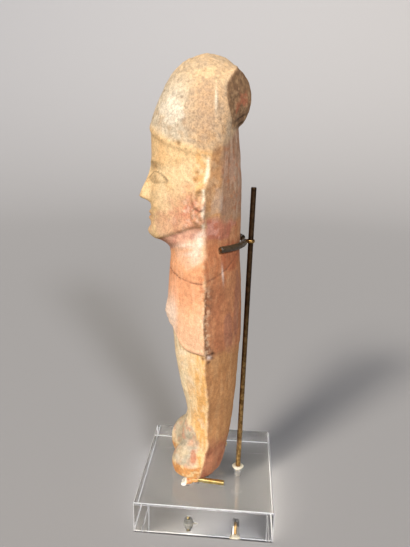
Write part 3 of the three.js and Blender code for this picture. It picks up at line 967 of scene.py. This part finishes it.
def paint_losses(at):
    """Pale clay in the chip, darkness in the notches, painted shade in the folds, a painted highlight
    along the crease, and a pale scratch.
    """
    near = step(at.side, 13, 4)
    for (across, height), _, _, reach, code in LOSSES:
        spot = bump(np.hypot(at.y - across, at.z - height), reach)
        at.lay(code, 0.9 * spot * near)
    # Painted shade: the folds low on the cap's lump are darkened almost to black.
    at.lay("33261A", 0.95 * fold_lines(at.x, at.y, at.z, 0.6))
    # Painted highlight: a pale streak along the raised crease beside the cap's seam.
    crease = bump(at.y + 1.6, 0.7) * bump(at.z - 239, 5) * step(at.side, 15, 4)
    at.lay("F0E2C4", 0.8 * crease)
    scratch = bump(at.y - 4.2 + 0.1 * (at.z - 152), 0.5) * bump(at.z - 151, 4.5) * step(at.x, 10, 4)
    at.lay("EAD2C0", 0.8 * scratch)


# Materials

def new_material(name):
    """A material and its node tree."""
    material = bpy.data.materials.new(name)
    material.use_nodes = True
    return material, material.node_tree


def put_inputs(tree, node, inputs):
    """Sets a node's inputs by name: a value, or a socket to link from."""
    for name, value in inputs.items():
        if isinstance(value, bpy.types.NodeSocket):
            tree.links.new(value, node.inputs[name])
        else:
            node.inputs[name].default_value = value


def shaded(material, inputs):
    """The material, with its shader's inputs set by name."""
    tree = material.node_tree
    put_inputs(tree, tree.nodes["Principled BSDF"], inputs)
    return material


def plain_material(name, inputs):
    """A material with plain values on its shader."""
    return shaded(new_material(name)[0], inputs)


def add_node(tree, kind, inputs, **settings):
    """A node with its settings and its inputs by name."""
    node = tree.nodes.new(kind)
    for name, value in settings.items():
        setattr(node, name, value)
    put_inputs(tree, node, inputs)
    return node


def ramp(tree, source, stops):
    """A colour ramp from (position, colour) stops."""
    node = add_node(tree, "ShaderNodeValToRGB", {"Fac": source})
    elements = node.color_ramp.elements
    while len(elements) < len(stops):
        elements.new(0.5)
    for element, (position, value) in zip(elements, stops):
        element.position = position
        element.color = (value, value, value, 1) if isinstance(value, (int, float)) else value
    return node.outputs["Color"]


def mixed(tree, kind, amount, first, second):
    """Two colours mixed, with the blend kind that is named."""
    inputs = {0: amount, 6: first, 7: second}
    node = add_node(tree, "ShaderNodeMix", inputs, data_type="RGBA", blend_type=kind)
    return node.outputs[2]


def tint(code):
    """The colour code with full alpha."""
    return (*colour(code), 1.0)


def noise_of(tree, place, size_mm, detail=4):
    """Noise over a place, with features of about that size."""
    node = add_node(tree, "ShaderNodeTexNoise", {
        "Vector": place, "Scale": 1 / (size_mm * MM), "Detail": detail, "Roughness": 0.6})
    return node.outputs["Fac"]


def mottle(tree, place, size_mm, detail, *stops):
    """Noise over a place, turned into the stops' values or colours."""
    return ramp(tree, noise_of(tree, place, size_mm, detail), stops)


def relief(tree, height, strength, depth_mm):
    """A fine relief for the shader's normals."""
    node = add_node(tree, "ShaderNodeBump", {
        "Height": height, "Strength": strength, "Distance": depth_mm * MM})
    return node.outputs["Normal"]


def object_place(tree):
    """A point's place in the object's own space, in metres."""
    return add_node(tree, "ShaderNodeTexCoord", {}).outputs["Object"]


def painted(tree):
    """The paint of the mesh's own vertices: its colour, and how gritty it is."""
    attribute = add_node(tree, "ShaderNodeAttribute", {}, attribute_name="paint")
    return attribute.outputs["Color"], attribute.outputs["Alpha"]


def fired_clay():
    """Matt clay: the painted colour, mottled, with gritty specks or fine upright streaks."""
    material, tree = new_material("fired clay")
    place = object_place(tree)
    paint, grit = painted(tree)
    drawn = add_node(tree, "ShaderNodeMapping", {"Vector": place, "Scale": (1, 1, 0.35)})
    streaks = mottle(tree, drawn.outputs[0], 1.1, 4, (0.34, 0.88), (0.64, 1.06))
    specks = mottle(tree, place, 1.1, 5, (0.34, 0.68), (0.54, 1.06))
    toned = paint
    for shade in (mottle(tree, place, 1.8, 5, (0.3, 0.82), (0.7, 1.13)),
                  mixed(tree, "MIX", grit, streaks, specks),
                  mottle(tree, place, 0.6, 3, (0.34, 0.84), (0.64, 1.1))):
        toned = mixed(tree, "MULTIPLY", 1.0, toned, shade)
    height = mixed(tree, "MIX", 0.4, noise_of(tree, place, 0.9), noise_of(tree, place, 0.3, 2))
    return shaded(material, {
        "Base Color": toned,
        "Roughness": mottle(tree, place, 4.0, 4, (0.35, 0.62), (0.65, 0.9)),
        "Specular IOR Level": 0.3,
        "Normal": relief(tree, height, 0.8, 0.3),
    })


def clear_acrylic():
    """The block: clear and polished, by plain values alone."""
    return plain_material("clear acrylic", {
        "Base Color": (0.86, 0.855, 0.835, 1),
        "Roughness": 0.0,
        "IOR": 1.49,
        "Transmission Weight": 1.0,
    })


def ground_edge():
    """The block's eased edges, which are finely ground and catch the light."""
    return plain_material("ground acrylic", {
        "Base Color": (0.77, 0.78, 0.79, 1),
        "Roughness": 0.4,
        "IOR": 1.49,
        "Transmission Weight": 0.42,
    })


def brass(name, bright, dark, size_mm, low_rough, high_rough):
    """Brass with a patina that wanders between two colours."""
    material, tree = new_material(name)
    place = object_place(tree)
    return shaded(material, {
        "Base Color": mottle(tree, place, size_mm, 5, (0.35, tint(dark)), (0.68, tint(bright))),
        "Metallic": 1.0,
        "Roughness": mottle(tree, place, 1.5, 4, (0.3, low_rough), (0.7, high_rough)),
        "Normal": relief(tree, noise_of(tree, place, 0.7, 3), 0.25, 0.05),
    })


def rod_brass():
    """The rod: brown and dark above, golden lower down."""
    material, tree = new_material("aged brass")
    place = object_place(tree)
    height = add_node(tree, "ShaderNodeSeparateXYZ", {"Vector": place}).outputs["Z"]
    level = add_node(tree, "ShaderNodeMapRange", {
        "Value": height, "From Min": 0.04, "From Max": 0.13}).outputs["Result"]
    low = mottle(tree, place, 2.2, 5, (0.4, tint("7A5A30")), (0.62, tint("C9A468")))
    high = mottle(tree, place, 3, 5, (0.35, tint("33261A")), (0.7, tint("5C4630")))
    return shaded(material, {
        "Base Color": mixed(tree, "MIX", level, low, high),
        "Metallic": 1.0,
        "Roughness": mottle(tree, place, 1.2, 4, (0.3, 0.3), (0.7, 0.5)),
    })


def dark_plastic():
    """The sleeves: dark brown, a little glossy and uneven."""
    material, tree = new_material("dark sleeving")
    place = object_place(tree)
    shade = mottle(tree, place, 1.2, 4, (0.3, 0.6), (0.7, 1.5))
    return shaded(material, {
        "Base Color": mixed(tree, "MULTIPLY", 1.0, tint("3A2E20"), shade),
        "Roughness": 0.32,
        "Normal": relief(tree, noise_of(tree, place, 0.6, 3), 0.4, 0.03),
    })


def cloudy_glue():
    """Cream glue that lets a little light through."""
    material, tree = new_material("cloudy glue")
    place = object_place(tree)
    return shaded(material, {
        "Base Color": mottle(tree, place, 1.0, 4, (0.3, tint("D8CCA8")), (0.7, tint("F4EEDC"))),
        "Roughness": 0.3,
        "Transmission Weight": 0.3,
    })


def waxy_glue():
    """The painted colour of glue and wax, a little uneven."""
    material, tree = new_material("glue and wax")
    paint = painted(tree)[0]
    shade = mottle(tree, object_place(tree), 0.8, 3, (0.3, 0.8), (0.7, 1.15))
    return shaded(material, {
        "Base Color": mixed(tree, "MULTIPLY", 1.0, paint, shade),
        "Roughness": 0.4,
    })


# The stand

def turned_mesh(outline, sides=48):
    """Vertices and faces of a solid of revolution about Z, from (radius, height) points."""
    turn = round_turn(sides)
    rings = [np.stack([r * np.cos(turn), r * np.sin(turn), 0 * turn + h], axis=1) for r, h in outline]
    return grid_mesh(np.array(rings))


def tube_mesh(path, radii, sides=28, up=(0, 0, 1)):
    """A round wire along a path of points, with a radius at each of them."""
    path = np.asarray(path, float)
    along = np.gradient(path, axis=0)
    along /= np.linalg.norm(along, axis=1)[:, None]
    across = np.cross(along, up)
    across /= np.linalg.norm(across, axis=1)[:, None]
    lift = np.cross(across, along)
    turn = round_turn(sides)
    rings = (path[:, None] + radii[:, None, None] * (
        np.cos(turn)[None, :, None] * across[:, None] - np.sin(turn)[None, :, None] * lift[:, None]))
    return grid_mesh(rings)


def make_rod():
    """The rod with its rounded top, leaning a little."""
    low, high = in_mm(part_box("support_rod"))
    length = high[2] - low[2]
    inner, top = ROD_RADIUS - ROD_EASE, length - ROD_EASE
    edge = [(inner + ROD_EASE * math.sin(a), top + ROD_EASE * math.cos(a))
            for a in np.linspace(math.pi / 2, 0, 7)]
    outline = [(ROD_RADIUS, z) for z in np.linspace(0, length - 0.5, 120)] + edge + [(0.3, length)]
    places, faces = turned_mesh(outline)
    places[:, 0] += 0.05 * np.sin(places[:, 2] / 37)
    y, z = places[:, 1].copy(), places[:, 2].copy()
    cos, sin = math.cos(ROD_LEAN), math.sin(ROD_LEAN)
    places[:, 1] = y * cos + z * sin + ROD_Y + (low[2] - BLOCK_TOP) * math.tan(ROD_LEAN)
    places[:, 2] = np.clip(z * cos - y * sin + low[2], low[2], high[2])
    piece = new_object("brass_rod", places * MM, faces)
    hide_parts("support_rod")
    finish_piece(piece, rod_brass())


def splayed(places, side):
    """Places on a pin's own axes, put where the pin stands on that side of the block."""
    turned = turn_about_z(places, -side * PIN_SPLAY)
    return turned + (side * PIN_X, PIN_FRONT, 0)


def make_pin(name, side, material):
    """A foot pin: a leg down into the block, a bend and a straight run back."""
    top = BLOCK_TOP + GAP + PIN_RADIUS
    leg = [(0, 0, z) for z in np.linspace(PIN_FOOT, top - PIN_BEND, 8, endpoint=False)]
    bend = [(0, PIN_BEND * t * t, top - PIN_BEND * (1 - t) ** 2)
            for t in np.linspace(0, 1, 14, endpoint=False)]
    run = [(0, y, top) for y in np.linspace(PIN_BEND, PIN_RUN - PIN_EASE, 30)]
    cap = [(0, PIN_RUN - PIN_EASE * (1 - t), top) for t in (0.4, 0.7, 0.9, 1)]
    path = np.array(leg + bend + run + cap)
    radii = np.full(len(path), PIN_RADIUS)
    radii[-4:] = PIN_RADIUS * np.array([0.96, 0.88, 0.76, 0.6])
    places, faces = tube_mesh(path, radii, up=(1, 0, 0))
    piece = new_object(name + "_pin_wire", splayed(places, side) * MM, faces)
    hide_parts(name + "_foot_pin")
    finish_piece(piece, material)


def fork_path(start, end, count):
    """The fork's centre line: the figure's back at that height, moved out by the sleeve."""
    part = FORK_REACH * np.linspace(start, end, count)
    level = np.full(count, FORK_HEIGHT)
    x, y = skin(part, level, False)
    next_x, next_y = skin(part + 0.01, level, False)
    along_x, along_y = next_x - x, next_y - y
    size = np.hypot(along_x, along_y)
    clearance = SLEEVE_RADIUS + 2 * GAP
    x = x - clearance * along_y / size
    y = y + clearance * along_x / size
    places = turn_about_z(np.stack([x, y, level], axis=1), FIGURE_TURN)
    places[:, 2] -= FORK_TILT * places[:, 0]
    return places


def make_cradle(material):
    """The fork's wire with the solder that holds it to the rod."""
    count = 60
    wire = fork_path(-1, 1, count)
    parts = [tube_mesh(wire, np.full(count, WIRE_RADIUS))]
    middle = wire[count // 2]
    rod_y = ROD_Y + (FORK_HEIGHT - BLOCK_TOP) * math.tan(ROD_LEAN)
    solder = [(middle[0] * (1 - t), middle[1] + (rod_y - 1.2 - middle[1]) * t, FORK_HEIGHT)
              for t in np.linspace(0, 1, 8)]
    parts.append(tube_mesh(solder, np.array([0.9, 1, 0.95, 0.9, 0.95, 1.1, 1.3, 1.4])))
    ring = [(1.52, -1), (2.0, -0.9), (2.25, -0.4), (2.25, 0.4), (2.0, 0.9), (1.52, 1)]
    band, band_faces = turned_mesh(ring)
    parts.append((band + (0, rod_y, FORK_HEIGHT), band_faces))
    places, faces = joined(parts)
    piece = new_object("fork_wire", places * MM, faces)
    remeshed(piece, FORK_VOXEL)
    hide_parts("cradle")
    finish_piece(piece, material)


def make_sleeve(side, end, material):
    """A dark sleeve on one arm: an open tube with a rounded lip at each end."""
    count = 48
    path = fork_path(SLEEVE_START * end, end, count)
    sides = 32
    outer = np.full(count, SLEEVE_RADIUS) + 0.05 * np.sin(np.arange(count) * 0.9)
    outer[[0, -1]] -= SLEEVE_LIP
    skins = [tube_mesh(path, radii, sides)[0][:count * sides].reshape(count, sides, 3)
             for radii in (outer, np.full(count, SLEEVE_BORE))]
    loop = np.concatenate([skins[0], skins[1][::-1]])
    faces = ring_faces(len(loop), len(loop), sides)
    piece = new_object("sleeve_" + side, loop.reshape(-1, 3) * MM, faces)
    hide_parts("cradle_sleeve_" + side)
    finish_piece(piece, material)


def make_rod_glue(material):
    """The glue collar round the rod, in its countersink, a little uneven on top."""
    low, high = in_mm(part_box("rod_glue"))
    inside = ROD_RADIUS + 0.03
    outside = ROD_RADIUS + GAP + 0.75
    mouth = (high[0] - low[0]) / 2 + 0.25
    outline = [(inside, low[2]), (outside, low[2]), (mouth, high[2] - 0.05)]
    outline += [(mouth - (mouth - inside) * t, high[2] + 0.7 * math.sin(math.pi * t))
                for t in np.linspace(0.08, 1, 12)]
    places, faces = turned_mesh(outline)
    heap = step(places[:, 2], high[2] - 0.5, 1)
    places[:, 2] += heap * 0.5 * (noise(places, 1.4, 71) - 0.6)
    places[:, :2] *= (1 - 0.08 * heap * noise(places, 2.3, 75))[:, None]
    piece = new_object("rod_glue_collar", (places + (0, ROD_Y, 0)) * MM, faces)
    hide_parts("rod_glue")
    finish_piece(piece, material)


def paint_wax(mesh, places):
    """White glue, grey where it lies in its hole, and orange wax behind the bend."""
    wax = step(places[:, 1], PIN_FRONT - 0.2, 1.2) * step(places[:, 2], BLOCK_TOP, 0.4)
    paint = np.tile(colour("E6E2D4"), (len(places), 1))
    paint = laid(paint, "8E8E86", below(places[:, 2], BLOCK_TOP - 0.4, 0.4))
    paint = laid(paint, "D09A5A", wax)
    paint = laid(paint, "A8663A", wax * flecks(places, 2.4, 0.5, 83, 0.3))
    store_paint(mesh, paint, wax)


def make_pin_glue(name, side, material):
    """Glue at a pin's leg: a white drop beside it, and orange wax pressed over the bend."""
    node = name + "_pin_glue"
    low, high = in_mm(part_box(node))
    ring = [(PIN_RADIUS + 0.2, low[2]), (PIN_RADIUS + 1, low[2]), (PIN_RADIUS + 1.9, high[2] + 0.1)]
    parts = [turned_mesh(ring, 40)]
    parts[0] = (parts[0][0] + (side * PIN_X, PIN_FRONT, 0), parts[0][1])
    for half, centre in (((1.7, 1.9, 1.0), (3.4, -1.7, BLOCK_TOP + 0.2)),
                         ((1.4, 1.3, 0.8), (2.6, -0.4, BLOCK_TOP + 0.1)),
                         ((2.9, 2.6, 2.4), (0.9, 1.2, BLOCK_TOP + 1.2)),
                         ((2.3, 3.4, 2.0), (0.4, 4.6, BLOCK_TOP + 1.7))):
        centre = (side * (PIN_X + centre[0]), PIN_FRONT + centre[1], centre[2])
        parts.append(lump(half, centre, 36, 20))
    places, faces = joined(parts)
    piece = new_object(name + "_pin_wax", places * MM, faces)
    mesh = remeshed(piece, WAX_VOXEL)
    places = places_of(mesh)
    rough = 0.5 * (cloud(places, 1.8, 81, 3) - 0.5)
    put_places(mesh, places + normals_of(mesh) * rough[:, None])
    paint_wax(mesh, places)
    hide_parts(node)
    finish_piece(piece, material)


def cuboid_mesh(name, low, high):
    """A box with its edges eased."""
    mesh = bpy.data.meshes.new(name)
    shape = bmesh.new()
    bmesh.ops.create_cube(shape, size=1)
    bmesh.ops.scale(shape, vec=high - low, verts=shape.verts)
    bmesh.ops.translate(shape, vec=(low + high) / 2, verts=shape.verts)
    bmesh.ops.bevel(shape, geom=shape.edges[:], offset=BLOCK_EDGE * MM, segments=1, profile=0.5,
                    affect="EDGES")
    shape.to_mesh(mesh)
    shape.free()
    return mesh


def drill(piece, x, y, bore, bottom):
    """A blind hole in the block: its bottom's outline, the bore and a countersunk mouth."""
    wide = bore + COUNTERSINK
    mouth = [(bore, BLOCK_TOP - HOLE_MOUTH), (wide, BLOCK_TOP), (wide, BLOCK_TOP + 1)]
    places, faces = turned_mesh(bottom + mouth)
    cutter = new_object("cutter", (places + (x, y, 0)) * MM, faces)
    cut = piece.modifiers.new("hole", "BOOLEAN")
    cut.operation = "DIFFERENCE"
    cut.object = cutter
    applied(piece)
    bpy.data.objects.remove(cutter)


def grind_edges(mesh, middle, half_size):
    """Gives the eased outer edges the mesh's second material."""
    for face in mesh.polygons:
        leaning = sorted(abs(part) for part in face.normal)[1] > 0.3
        outside = max(abs(face.center.x), abs(face.center.y - middle.y)) > half_size - 1.5 * MM
        face.material_index = int(leaning and outside)


def make_block():
    """The clear block: polished, with finely ground edges and countersunk holes."""
    low, high = (Vector(corner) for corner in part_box("base_block"))
    piece = added("clear_block", cuboid_mesh("clear_block", low, high))
    rod_hole = [(0.5, ROD_HOLE_FLOOR), (1.8, ROD_HOLE_FLOOR + 0.2), (2.3, ROD_HOLE_FLOOR + 0.9)]
    pin_hole = [(PIN_RADIUS + 0.15, PIN_FOOT - GAP)]
    drill(piece, 0, ROD_Y, ROD_BORE, rod_hole)
    drill(piece, PIN_X, PIN_FRONT, PIN_BORE, pin_hole)
    drill(piece, -PIN_X, PIN_FRONT, PIN_BORE, pin_hole)
    mesh = piece.data
    mesh.polygons.foreach_set("use_smooth", [False] * len(mesh.polygons))
    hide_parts("base_block")
    finish_piece(piece, clear_acrylic())
    mesh.materials.append(ground_edge())
    grind_edges(mesh, (low + high) / 2, high.x)
    piece.visible_shadow = False


def make_block_shade():
    """What the clear block keeps from the floor under it: a sheet that only dims light."""
    low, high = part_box("base_block")
    corners = [(low[0], low[1]), (high[0], low[1]), (high[0], high[1]), (low[0], high[1])]
    places = [(x, y, -FLOOR_DROP / 2 * MM) for x, y in corners]
    sheet = new_object("block_shade", places, [(0, 1, 2, 3)])
    material, tree = new_material("dimming sheet")
    veil = add_node(tree, "ShaderNodeBsdfTransparent", {"Color": tint("404140")})
    tree.links.new(veil.outputs[0], tree.nodes["Material Output"].inputs["Surface"])
    sheet.data.materials.append(material)
    for kind in ("camera", "diffuse", "glossy", "transmission"):
        setattr(sheet, "visible_" + kind, False)


# Camera, floor and light

def make_camera():
    """The photograph's camera, as it was fitted to the block and the rod."""
    data = bpy.data.cameras.new("camera")
    data.sensor_fit = "HORIZONTAL"
    data.sensor_width = SENSOR_WIDTH
    data.lens = FOCAL_PIXELS * SENSOR_WIDTH / PHOTO_WIDTH
    data.clip_start = 0.01
    camera = added("camera", data)
    level = math.cos(CAMERA_ELEVATION)
    look = Vector((level * math.cos(CAMERA_AZIMUTH), level * math.sin(CAMERA_AZIMUTH),
                   math.sin(CAMERA_ELEVATION)))
    turn = look.to_track_quat("-Z", "Y").to_matrix().to_4x4()
    camera.matrix_world = (Matrix.Translation(CAMERA_PLACE) @ turn
                           @ Matrix.Rotation(CAMERA_ROLL, 4, "Z"))
    bpy.context.scene.camera = camera


def make_floor():
    """A pale floor that sweeps up into a backdrop on every side."""
    places = []
    sides = 96
    outline = [(0.0005, 0), (0.3, 0), (0.6, 0), (FLOOR_RADIUS, 0)]
    outline += [(FLOOR_RADIUS + SWEEP * math.sin(a), SWEEP - SWEEP * math.cos(a))
                for a in np.linspace(0.05, 1.1, 22)]
    for radius, height in outline:
        for a in round_turn(sides):
            places.append((radius * math.cos(a), radius * math.sin(a), height - FLOOR_DROP * MM))
    faces = ring_faces(len(outline) - 1, len(outline), sides) + [tuple(range(sides))]
    floor = new_object("floor", places, faces)
    shades = {"Base Color": tint("9C9B9A"), "Roughness": 0.7}
    floor.data.materials.append(plain_material("pale floor", shades))


def add_sun(name, azimuth, elevation, width, strength, code):
    """A distant light from that azimuth and elevation, as wide as that many degrees."""
    data = bpy.data.lights.new(name, "SUN")
    data.angle = math.radians(width)
    data.energy = strength
    data.color = colour(code)
    light = added(name, data)
    light.rotation_euler = (0, math.radians(90 - elevation), math.radians(azimuth))


def make_lights():
    """A key from the viewer's left, a softer one from the right, and a dim even room."""
    for sun in SUNS:
        add_sun(*sun)
    world = bpy.data.worlds.new("room")
    world.use_nodes = True
    shade = world.node_tree.nodes["Background"]
    put_inputs(world.node_tree, shade, {"Color": tint("F2F2F4"), "Strength": ROOM_LIGHT})
    bpy.context.scene.world = world
    bpy.context.scene.view_settings.view_transform = "Standard"


make_camera()
make_statuette()
make_block()
make_rod()
pin_brass = brass("bright brass", "F0DC9C", "C8AA60", 4, 0.26, 0.34)
make_cradle(brass("fork brass", "BC985E", "5E4424", 1.5, 0.3, 0.45))
make_pin("left", 1, pin_brass)
make_pin("right", -1, pin_brass)
dark_sleeving = dark_plastic()
make_sleeve("left", 1, dark_sleeving)
make_sleeve("right", -1, dark_sleeving)
make_rod_glue(cloudy_glue())
wax = waxy_glue()
make_pin_glue("left", 1, wax)
make_pin_glue("right", -1, wax)
make_block_shade()
make_floor()
make_lights()
